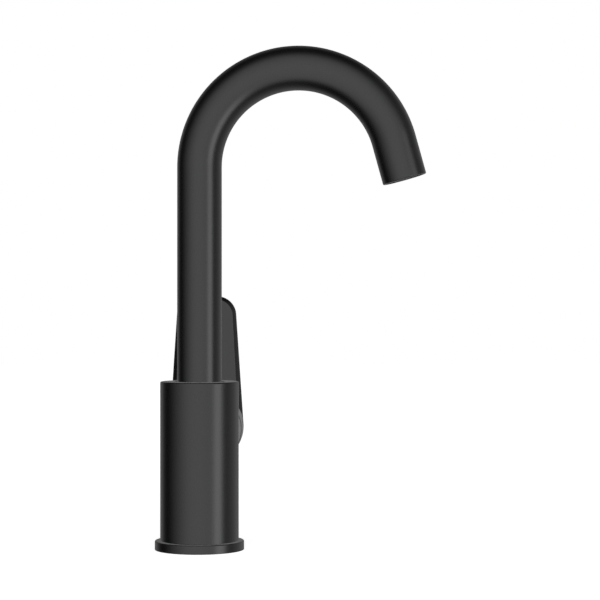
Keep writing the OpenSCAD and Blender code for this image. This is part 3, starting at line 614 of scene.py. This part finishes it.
# Rows round the bend, and the corners that eased rounds in five points each, from the foot's bore on
rows = [straight + s for s in arc(0, bend_length, 111)]
edges = eased([(bore, 0, 0.2), (outer, 0, 0.2), (outer, tube_length, 0.6), (bore, tube_length, 0.3)])
outside, inside = [(outer, s) for s in rows], [(bore, s) for s in reversed(rows)]
section = edges[5:10] + outside + edges[10:] + inside + edges[:5]
tube = turned("spout_bend", [(r, TUBE_Z + s) for r, s in section], columns=144)
run_tree(
    tube, bending_tree(), Foot=TUBE_Z * MM, Straight=straight * MM, Bend_radius=BEND_R * MM,
    Bend_angle=math.radians(BEND_SWEEP), Finish=BLACK,
)
fitted(smoothed(tube), BLACK, "spout", "satin_black", "spout_tube")


# The handle, one casting of hub and lever plate
def lever_outline(radius, columns=72):
    """The lever's outline with its outward directions: round the hub below, rounded corners on top."""
    corner = Vector((TIP_FLAT / 2, LEVER_H - CORNER_R))
    lean = math.atan2(corner.y, corner.x) - math.acos((radius - CORNER_R) / corner.length)
    outline = []
    for centre, r, start, end, count in (
        (Vector((0, 0)), radius, -math.pi - lean, lean, columns * 2),
        (corner, CORNER_R, lean, math.pi / 2, columns // 2),
        (Vector((-corner.x, corner.y)), CORNER_R, math.pi / 2, math.pi - lean, columns // 2),
    ):
        for a in arc(start, end, count):
            outward = Vector((math.cos(a), math.sin(a)))
            outline.append((centre + outward * r, outward))
    return outline


def far_rounding():
    """The rounding of the far edge, as (inset, y) pairs from the side to the far face."""
    return [
        (LEVER_EDGE * (1 - math.cos(a)), PLATE_END - LEVER_EDGE * (1 - math.sin(a)))
        for a in arc(0, QUARTER, 9)
    ]


def lever_plate(
    inside_hub=0.03, brow=0.5, slopes=(46, 58), top_width=2.25, foot_width=3.3, lip=0.2, facets=8
):
    """A plate made of insets of its outline. A steep bevel, wider lower down, runs round its near face.

    The bevel starts with the brow's rounding, gets steeper over its facets from the first slope to
    the last, and ends with the lip's rounding.
    """
    outline = lever_outline(HUB_D / 2 - inside_hub)
    first, last = (math.radians(slope) for slope in slopes)
    lip_step = 0.3 * lip

    def bevel(height):
        """(inset, depth) pairs from the face to the outline at a height above the hub's axis."""
        width = foot_width + (top_width - foot_width) * min(max(height / LEVER_H, 0), 1)
        steps = [(brow * math.sin(a), brow * (1 - math.cos(a))) for a in arc(0, first, 6)]
        run = (width - steps[-1][0] - lip * (1 - math.sin(last))) / facets
        for a in arc(first, last, facets):
            steps.append((steps[-1][0] + run, steps[-1][1] + run * math.tan(a)))
        for a in arc(last, math.pi / 2, 4)[1:]:
            steps.append((width - lip * (1 - math.sin(a)), steps[-1][1] + lip_step))
        return [(width - run_out, PLATE_Y + depth) for run_out, depth in steps]

    sides = [bevel(point.y) for point, outward in outline]
    far_edge = far_rounding()
    bm = bmesh.new()
    rings = []
    for k in range(len(sides[0]) + len(far_edge)):
        rings.append([])
        for side, (point, outward) in zip(sides, outline):
            inset, y = (side + far_edge)[k]
            p = point - outward * inset
            rings[-1].append(bm.verts.new((p.x, y, BOSS_Z + p.y)))
    count = len(outline)
    for low, high in zip(rings, rings[1:]):
        for i in range(count):
            j = (i + 1) % count
            bm.faces.new((low[i], low[j], high[j], high[i]))
    bm.faces.new(rings[0])
    bm.faces.new(rings[-1])
    return mesh_object("lever_plate", bm)


def handle_casting(rim_ease=0.5, plug_sink=0.25, on_plane=0.002):
    """Hub and lever plate, hollow over the dome, with the hub's lower rim cut back for the tilt."""
    r = HUB_D / 2
    hub = turned("handle_casting", [
        (0, HUB_RIM_Y), (r, HUB_RIM_Y), *[(r - inset, y) for inset, y in far_rounding()], (0, PLATE_END),
    ], ALONG_BOSS, columns=192)
    combined(hub, [lever_plate()], "UNION")
    size, rim = 3 * r, HUB_RIM_Y - PIVOT_Y
    relief = block(
        "tilt_relief", (-size / 2, -size / 2, rim - size), (size / 2, size / 2, rim),
        ALONG_BOSS @ Matrix.Translation((0, 0, PIVOT_Y)) @ Matrix.Rotation(TILT, 4, "X"),
    )
    mouth = HUB_RIM_Y - OVER
    hollow = turned("hollow", [
        (0, mouth), (r - HUB_WALL, mouth), (r - HUB_WALL, HOLLOW_FLOOR), (0, HOLLOW_FLOOR),
    ], ALONG_BOSS, columns=192)
    combined(hub, [relief, hollow])
    below = (0, GRUB_Y, BOSS_Z - r - OVER)
    combined(hub, [
        block(
            "spindle_hole", (-SPINDLE_W / 2, HOLLOW_FLOOR - OVER, BOSS_Z - SPINDLE_W / 2),
            (SPINDLE_W / 2, SPINDLE_HOLE_END, BOSS_Z + SPINDLE_W / 2),
        ),
        drill("grub_hole", below, (0, GRUB_Y, BOSS_Z), GRUB_D),
        drill("plug_hole", below, (0, GRUB_Y, BOSS_Z - PLUG_LOW), PLUG_D, plug_sink),
    ])
    # The rim's sharp edges are broken by the polishing before the lacquer
    bm = bmesh.new()
    bm.from_mesh(hub.data)
    bmesh.ops.remove_doubles(bm, verts=bm.verts, dist=SAME * MM)
    tilt_normal = Vector((0, math.cos(TILT), math.sin(TILT)))

    def on_rim(v):
        p = v.co / MM - Vector((0, PIVOT_Y, BOSS_Z))
        return min(abs(p.y - rim), abs(p.dot(tilt_normal) - rim)) < on_plane

    sharp = [
        e for e in bm.edges
        if all(on_rim(v) for v in e.verts) and e.is_manifold and e.calc_face_angle(0) > math.radians(40)
    ]
    bmesh.ops.bevel(
        bm, geom=sharp, offset=rim_ease * MM, segments=3, profile=0.5, affect="EDGES", clamp_overlap=True
    )
    bm.to_mesh(hub.data)
    bm.free()
    return cleaned(hub)


handle = handle_casting()
fitted(smoothed(handle), BLACK, "lever", "satin_black", "handle")


# Smaller pieces that show
def deck_seal(ease=0.12, mouth=1.2, floor=0.7, depth=0.4):
    """A flat ring with two sealing lips, parted by a groove round its underside."""
    inner, outer = GASKET_R - GASKET_W / 2, GASKET_R + GASKET_W / 2
    return turned("deck_seal", eased([
        (inner, 0, ease), (inner, GASKET_H, ease), (outer, GASKET_H, ease), (outer, 0, ease),
        (GASKET_R + mouth, 0, ease), (GASKET_R + floor, depth, ease),
        (GASKET_R - floor, depth, ease), (GASKET_R - mouth, 0, ease),
    ]))


fitted(smoothed(deck_seal()), RUBBER, "base", "seal_rubber", "base_gasket")

collar = turned("slip_collar", eased([
    (TUBE_D / 2 + RUN_FIT, SLIP_Z + SEAT_GAP, 0.1), (TUBE_D / 2 + RUN_FIT, SLIP_RING_TOP, 0.25),
    (SLIP_RING_D / 2 - PUSH_FIT, SLIP_RING_TOP, 0.25), (SLIP_RING_D / 2 - PUSH_FIT, SLIP_Z + SEAT_GAP, 0.1),
]))
fitted(smoothed(collar), ACETAL, "base", "black_plastic", "slip_ring")

# A zone of a ball about the lever's pivot, pressed over the cartridge's nut
DOME_FOOT, DOME_LEDGE = BOSS_END + SEAT_GAP, NUT_TOP + SEAT_GAP
low, high = (math.asin((y - PIVOT_Y) / DOME_R) for y in (DOME_FOOT, DOME_TOP))
dome = turned("boss_dome", [
    (NUT_HEAD_D / 2 + PUSH_FIT, DOME_FOOT),
    *[(DOME_R * math.cos(a), PIVOT_Y + DOME_R * math.sin(a)) for a in arc(low, high, 14)],
    (DOME_BORE_R, DOME_TOP), (DOME_BORE_R, DOME_LEDGE), (NUT_HEAD_D / 2 + PUSH_FIT, DOME_LEDGE),
], ALONG_BOSS)
fitted(smoothed(dome), BLACK, "base", "satin_black", "trim_dome")


def grub_cap(dimple_r=0.9, dimple_floor_r=0.6, dimple_depth=0.25):
    """A pressed-in plug over the grub screw, with a small dimple in its face to lift it by."""
    r, face = PLUG_D / 2 - PUSH_FIT, PLUG_LOW + PLUG_T
    return turned("grub_cap", eased([
        (0, PLUG_LOW, 0), (r, PLUG_LOW, 0.15), (r, face, 0.3),
        (dimple_r, face, 0.1), (dimple_floor_r, face - dimple_depth, 0.1), (0, face - dimple_depth, 0),
    ]), Matrix.Translation((0, GRUB_Y, BOSS_Z)) @ Matrix.Rotation(math.pi, 4, "X"), columns=72)


fitted(smoothed(grub_cap()), ACETAL, "lever", "black_plastic", "screw_plug")


def stop_screw(shank_x=10.2, tip_x=7.95, tip_d=2.4, socket_depth=2.5, socket_point=0.4):
    """A grub screw with a hexagon socket and a dog point, seen in its hole at the body's back."""
    r, key_r, tip_r = STOP_D / 2 - PUSH_FIT, STOP_D / 4, tip_d / 2
    head_edge, shank_edge, tip_edge = 0.25, 0.3, 0.2
    length, tip = STOP_HEAD_X - shank_x, STOP_HEAD_X - tip_x
    place = Matrix.Translation((-STOP_HEAD_X, 0, STOP_Z)) @ Matrix.Rotation(QUARTER, 4, "Y")
    screw = turned("stop_screw", [
        (0, 0), (r - head_edge, 0), (r, head_edge), (r, length - shank_edge), (r - shank_edge, length),
        (tip_r, length), (tip_r, tip - tip_edge), (tip_r - tip_edge, tip), (0, tip),
    ], place, columns=72)
    key = turned("key", [
        (0, -OVER), (key_r, -OVER), (key_r, socket_depth), (0, socket_depth + socket_point),
    ], place, 6)
    lead = turned("lead", [(0, -OVER), (key_r + OVER, -OVER), (0.01, key_r)], place, 48)
    return combined(screw, [key, lead])


fitted(smoothed(stop_screw()), turned_stainless(*STOP_SCREW_AXIS), "base", "plain_steel", "spout_stop_screw")

# The outlet: a threaded bush in the tube's end and the insert's shell with its four key slots
SHELL_END, BUSH_END, BUSH_R = SHELL_SET + SHELL_LEN, BUSH_SET + BUSH_LEN, bore - SCREW_FIT
bush = turned("outlet_bush_turning", eased([
    (BUSH_R, BUSH_SET, 0.15), (BUSH_R, BUSH_END, 0.3),
    (BUSH_THROAT_D / 2, BUSH_END, 0.3), (BUSH_THROAT_D / 2, SHELL_END + WASHER_T, 0.1),
    (AERATOR_D / 2, SHELL_END + WASHER_T, 0), (AERATOR_D / 2, BUSH_SET, 0.15),
]), AT_OUTLET)
fitted(smoothed(bush), BLACK, "spout", "satin_black", "outlet_bush")

CORE_R = AERATOR_D / 2 - SHELL_WALL - 2 * PUSH_FIT
shell = turned("insert_shell", eased([
    (AERATOR_D / 2 - PUSH_FIT, SHELL_SET, 0.2), (AERATOR_D / 2 - PUSH_FIT, SHELL_END, 0.1),
    (CORE_R + PUSH_FIT, SHELL_END, 0.1), (CORE_R + PUSH_FIT, SHELL_SET + LIP_T, 0),
    (CORE_R - LIP, SHELL_SET + LIP_T, 0.05), (CORE_R - LIP, SHELL_SET, 0.25),
]), AT_OUTLET)
combined(shell, [
    block(
        "key_slot", (CORE_R - LIP - OVER, -KEY_W / 2, SHELL_SET - OVER),
        (AERATOR_D / 2 + OVER, KEY_W / 2, SHELL_SET + KEY_DEPTH),
        AT_OUTLET @ Matrix.Rotation(quarter * QUARTER, 4, "Z"),
    )
    for quarter in range(4)
])
fitted(smoothed(shell), ACETAL, "spout", "black_plastic", "aerator_shell")


def grid_tree():
    """A round plate with hexagonal holes in staggered rows, none of them past its reach."""
    tree, given = new_tree("perforated outlet grid", "Grid", "Radius", "Thickness", "Pitch", "Hole", "Reach")
    pitch, thickness, gaps = given["Pitch"], given["Thickness"], 8
    plate = add(tree, "GeometryNodeMeshCylinder", Vertices=96, Radius=given["Radius"], Depth=thickness)
    # Staggered rows stand closer than the holes in a row, by the height of a triangle with equal sides
    row_pitch = add(
        tree, "ShaderNodeMath", {"operation": "MULTIPLY"}, index_0=pitch, index_1=math.sqrt(3) / 2
    )
    wide = add(tree, "ShaderNodeMath", {"operation": "MULTIPLY"}, index_0=pitch, index_1=gaps)
    deep = add(tree, "ShaderNodeMath", {"operation": "MULTIPLY"}, index_0=row_pitch, index_1=gaps)
    places = add(
        tree, "GeometryNodeMeshGrid", Size_X=wide, Size_Y=deep, Vertices_X=gaps + 1, Vertices_Y=gaps + 1
    )
    at = add(tree, "ShaderNodeSeparateXYZ", Vector=add(tree, "GeometryNodeInputPosition")).outputs
    row = add(tree, "ShaderNodeMath", {"operation": "DIVIDE"}, index_0=at["Y"], index_1=row_pitch)
    whole_row = add(tree, "ShaderNodeMath", {"operation": "ROUND"}, index_0=row)
    odd = add(tree, "ShaderNodeMath", {"operation": "FLOORED_MODULO"}, index_0=whole_row, index_1=2.0)
    half = add(tree, "ShaderNodeMath", {"operation": "MULTIPLY"}, index_0=pitch, index_1=0.5)
    shift = add(tree, "ShaderNodeMath", {"operation": "MULTIPLY"}, index_0=odd, index_1=half)
    staggered = add(
        tree, "GeometryNodeSetPosition", Geometry=places, Offset=add(tree, "ShaderNodeCombineXYZ", X=shift)
    )
    out = add(
        tree, "ShaderNodeVectorMath", {"operation": "LENGTH"}, Vector=add(tree, "GeometryNodeInputPosition")
    ).outputs["Value"]
    near = add(tree, "ShaderNodeMath", {"operation": "LESS_THAN"}, index_0=out, index_1=given["Reach"])
    hole_r = add(tree, "ShaderNodeMath", {"operation": "MULTIPLY"}, index_0=given["Hole"], index_1=0.5)
    hole_h = add(tree, "ShaderNodeMath", {"operation": "MULTIPLY"}, index_0=thickness, index_1=2.0)
    punch = add(tree, "GeometryNodeMeshCylinder", Vertices=6, Radius=hole_r, Depth=hole_h)
    punches = add(
        tree, "GeometryNodeInstanceOnPoints", Points=staggered, Selection=near, Instance=punch,
        Rotation=(0, 0, math.pi / 6),
    )
    real = add(tree, "GeometryNodeRealizeInstances", Geometry=punches)
    pierced = add(tree, "GeometryNodeMeshBoolean", {"operation": "DIFFERENCE"}, index_0=plate, index_1=real)
    return finish_tree(tree, pierced, given)


grid = grown(
    "outlet_grid", grid_tree(), AT_OUTLET @ Matrix.Translation((0, 0, SHELL_SET + LIP_T + GRID_T / 2)),
    Radius=CORE_R * MM, Thickness=GRID_T * MM, Pitch=GRID_PITCH * MM, Hole=GRID_HOLE * MM,
    Reach=(CORE_R - GRID_RIM - GRID_PITCH / 2) * MM, Finish=ACETAL,
)
fitted(smoothed(grid), ACETAL, "spout", "black_plastic", "aerator_grid")


def thread_tree():
    """The ridge of a metric thread on the wall of a hole: 7/8 pitch wide at its foot, 1/4 at its crest."""
    tree, given = new_tree("screw thread", "Thread", "Radius", "Pitch", "Length", "Depth")
    pitch, radius, length = given["Pitch"], given["Radius"], given["Length"]
    turns = add(tree, "ShaderNodeMath", {"operation": "DIVIDE"}, index_0=length, index_1=pitch)
    helix = add(
        tree, "GeometryNodeCurveSpiral", Resolution=40, Rotations=turns,
        Start_Radius=radius, End_Radius=radius, Height=length,
    )
    level = add(tree, "GeometryNodeSetCurveNormal", {"mode": "Z_UP"}, Curve=helix)
    foot = add(tree, "ShaderNodeMath", {"operation": "MULTIPLY"}, index_0=pitch, index_1=7 / 8)
    crest = add(tree, "ShaderNodeMath", {"operation": "MULTIPLY"}, index_0=pitch, index_1=1 / 4)
    standing = add(
        tree, "GeometryNodeCurvePrimitiveQuadrilateral", {"mode": "TRAPEZOID"},
        Height=given["Depth"], Bottom_Width=foot, Top_Width=crest, Offset=0.0,
    )
    section = add(tree, "GeometryNodeTransform", Geometry=standing, Rotation=(0, 0, -QUARTER))
    ridge = add(tree, "GeometryNodeCurveToMesh", Curve=level, Profile_Curve=section, Fill_Caps=True)
    return finish_tree(tree, ridge, given)


# Inlet threads M10 x 1, the stud's M8 x 1.25 and the stop screw's M4 x 0.7, each from its start in
# its hole. A ridge is 0.54 pitch deep and stands 0.03 pitch in the wall
THREAD = thread_tree()
RIDGE_DEPTH, RIDGE_IN = 0.54, 0.03
for name, start, turn, diameter, pitch, length in (
    ("left_inlet_thread", (-INLET_SPACING / 2, INLET_OFFSET, RECESS_TOP + 0.8), 0, INLET_D, 1, 10.5),
    ("right_inlet_thread", (INLET_SPACING / 2, INLET_OFFSET, RECESS_TOP + 0.8), 0, INLET_D, 1, 10.5),
    ("stud_thread", (0, -STUD_OFFSET, RECESS_TOP + 0.9), 0, STUD_D, 1.25, 12.5),
    ("stop_screw_thread", (-BODY_D / 2 + 0.4, 0, STOP_Z), QUARTER, STOP_D, 0.7, 0.9),
):
    ridge = grown(
        name, THREAD, Matrix.Translation(start) @ Matrix.Rotation(turn, 4, "Y"),
        Radius=(diameter / 2 - (RIDGE_DEPTH / 2 - RIDGE_IN) * pitch) * MM, Pitch=pitch * MM,
        Length=length * MM, Depth=RIDGE_DEPTH * pitch * MM, Finish=BLACK,
    )
    fitted(smoothed(ridge), BLACK, "base", "satin_black")


# Floor, camera and light
def white_paper(camera_glow=0.8):
    # Matt white background paper: it takes the tap's shadow and the camera sees it as white. What
    # the tap reflects below the horizon is the same soft studio that it reflects above it
    material = bpy.data.materials.new("white background paper, matt")
    material.use_nodes = True
    tree = material.node_tree
    tree.nodes.clear()
    path = add(tree, "ShaderNodeLightPath").outputs
    paper = add(tree, "ShaderNodeBsdfDiffuse", Color=(0.9, 0.9, 0.9, 1))
    strength = add(
        tree, "ShaderNodeMath", {"operation": "MULTIPLY"}, index_0=path["Is Camera Ray"], index_1=camera_glow
    )
    glow = add(tree, "ShaderNodeEmission", Color=(1, 1, 1, 1), Strength=strength)
    both = add(tree, "ShaderNodeAddShader", index_0=paper, index_1=glow)
    reflected = add(
        tree, "ShaderNodeMath", {"operation": "MAXIMUM"},
        index_0=path["Is Glossy Ray"], index_1=path["Is Transmission Ray"],
    )
    clear = add(tree, "ShaderNodeBsdfTransparent")
    mixed = add(tree, "ShaderNodeMixShader", index_0=reflected, index_1=both, index_2=clear)
    add(tree, "ShaderNodeOutputMaterial", Surface=mixed)
    return material


def floor_sheet(reach=3.0):
    """A flat sheet of paper, reach metres to each side."""
    corners = ((-reach, -reach, 0), (reach, -reach, 0), (reach, reach, 0), (-reach, reach, 0))
    mesh = bpy.data.meshes.new("floor")
    mesh.from_pydata(corners, [], [range(4)])
    mesh.materials.append(white_paper())
    made = bpy.data.objects.new("floor", mesh)
    bpy.context.scene.collection.objects.link(made)
    made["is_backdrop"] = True


floor_sheet()


# Light levels from the backdrop, at 0, round to behind the camera, at 1
STUDIO_LEVELS = (
    (0.0, 0.62), (0.006, 0.4), (0.015, 0.17), (0.05, 0.24), (0.1, 0.3), (0.15, 0.24), (0.2, 0.14),
    (0.28, 0.02), (0.34, 0.0), (0.44, 0.0), (0.54, 0.09), (0.645, 0.255), (0.73, 0.42), (0.8, 0.56),
    (0.865, 0.73), (0.915, 0.86), (0.955, 0.94), (1.0, 0.985),
)
# The same looking up and looking down, with the middle's angle up from the right and the cosines
# at which the panel starts and is full
OVERHEAD = (
    (
        (0.0, 0.42), (0.02, 0.15), (0.1, 0.17), (0.19, 0.11), (0.27, 0.02), (0.34, 0.0), (0.5, 0.0),
        (0.586, 0.06), (0.645, 0.18), (0.684, 0.31), (0.72, 0.43), (0.768, 0.61), (0.838, 0.76), (0.89, 0.83),
        (0.93, 0.9), (1.0, 0.985),
    ),
    98, 0.4, 0.95,
)
UNDERNEATH = (
    (
        (0.0, 0.42), (0.02, 0.2), (0.104, 0.31), (0.228, 0.16), (0.345, 0.03), (0.456, 0.0), (0.557, 0.03),
        (0.6, 0.13), (0.65, 0.31), (0.73, 0.72), (0.8, 0.9), (0.86, 0.92), (0.93, 0.95), (1.0, 0.985),
    ),
    -96, 0.45, 0.95,
)
# On the right a strip softbox in front, and a dim panel beside the tap that runs on underneath
STRIP = (
    ((0.6, 0.0), (0.655, 0.75), (0.69, 1.6), (0.76, 1.5), (0.82, 1.2), (0.86, 0.2), (0.88, 0.0)),
    -15.5, 0.76, 0.95,
)
RIGHT_PANEL = (
    ((0.02, 0.0), (0.06, 0.04), (0.14, 0.1), (0.2, 0.2), (0.28, 0.31), (0.4, 0.27), (0.52, 0.12), (0.6, 0.0)),
    -25, 0.05, 0.93,
)
STUDIO_GAIN = 1.22


def studio_world():
    """A soft studio all round: bright behind the camera, dark beside the tap, pale behind it."""
    world = bpy.data.worlds.new("studio")
    bpy.context.scene.world = world
    world.use_nodes = True
    tree = world.node_tree
    tree.nodes.clear()
    way = add(tree, "ShaderNodeTexCoord").outputs["Generated"]
    at = add(tree, "ShaderNodeSeparateXYZ", Vector=way).outputs
    # 1 looks at the camera's side, 0 at the backdrop
    facing = add(
        tree, "ShaderNodeMapRange", Value=at["Y"], index_1=-1.0, index_2=1.0, index_3=1.0, index_4=0.0
    )
    sideways = add(tree, "ShaderNodeVectorMath", {"operation": "MULTIPLY"}, index_0=way, index_1=(1, 0, 1))
    around = add(tree, "ShaderNodeVectorMath", {"operation": "NORMALIZE"}, index_0=sideways)

    def light(levels):
        """Light by how far round to the front a direction lies."""
        made = add(tree, "ShaderNodeValToRGB", Fac=facing)
        stops = made.color_ramp.elements
        while len(stops) < len(levels):
            stops.new(0.5)
        for stop, (place, level) in zip(stops, levels):
            stop.position, stop.color = place, (level, level, level, 1)
        return made.outputs["Color"]

    def share(angle, faint, full):
        """How much a direction belongs to a panel, whose middle stands at an angle up from the right."""
        middle = (math.cos(math.radians(angle)), 0, math.sin(math.radians(angle)))
        near = add(tree, "ShaderNodeVectorMath", {"operation": "DOT_PRODUCT"}, index_0=around, index_1=middle)
        return add(
            tree, "ShaderNodeMapRange", Value=near.outputs["Value"],
            index_1=faint, index_2=full, index_3=0.0, index_4=1.0,
        )

    total = light(STUDIO_LEVELS)
    for levels, *reach in (OVERHEAD, UNDERNEATH):
        total = add(
            tree, "ShaderNodeMix", {"data_type": "RGBA"}, Factor=share(*reach),
            index_6=total, index_7=light(levels),
        ).outputs[2]
    for levels, *reach in (STRIP, RIGHT_PANEL):
        glow = add(
            tree, "ShaderNodeVectorMath", {"operation": "SCALE"}, index_0=light(levels), Scale=share(*reach)
        )
        total = add(tree, "ShaderNodeVectorMath", {"operation": "ADD"}, index_0=total, index_1=glow)
    path = add(tree, "ShaderNodeLightPath").outputs
    room = add(tree, "ShaderNodeBackground", Color=total, Strength=STUDIO_GAIN)
    white = add(tree, "ShaderNodeBackground", Color=(1, 1, 1, 1), Strength=1.0)
    mixed = add(tree, "ShaderNodeMixShader", index_0=path["Is Camera Ray"], index_1=room, index_2=white)
    add(tree, "ShaderNodeOutputWorld", Surface=mixed)


studio_world()

# The camera stands level in front of the tap, to the right of its upright. The photo looks past the
# tap's front by a little less than one degree
STAND, YAW, SENSOR, LENS = (0.05635, -1.068, 0.1396), math.radians(0.8), 36, 114.3
camera_data = bpy.data.cameras.new("camera")
camera_data.sensor_width, camera_data.lens = SENSOR, LENS
camera_data.clip_start, camera_data.clip_end = 0.05, 20
camera = bpy.data.objects.new("camera", camera_data)
level = Matrix.Translation(STAND) @ Matrix.Rotation(QUARTER, 4, "X")
camera.matrix_world = Matrix.Rotation(YAW, 4, "Z") @ level
bpy.context.scene.collection.objects.link(camera)
bpy.context.scene.camera = camera

bpy.context.scene.view_settings.view_transform = "Standard"

# The studio's soft light reaches each piece past the others, as if from many small reflectors
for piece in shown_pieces():
    piece.visible_glossy = False
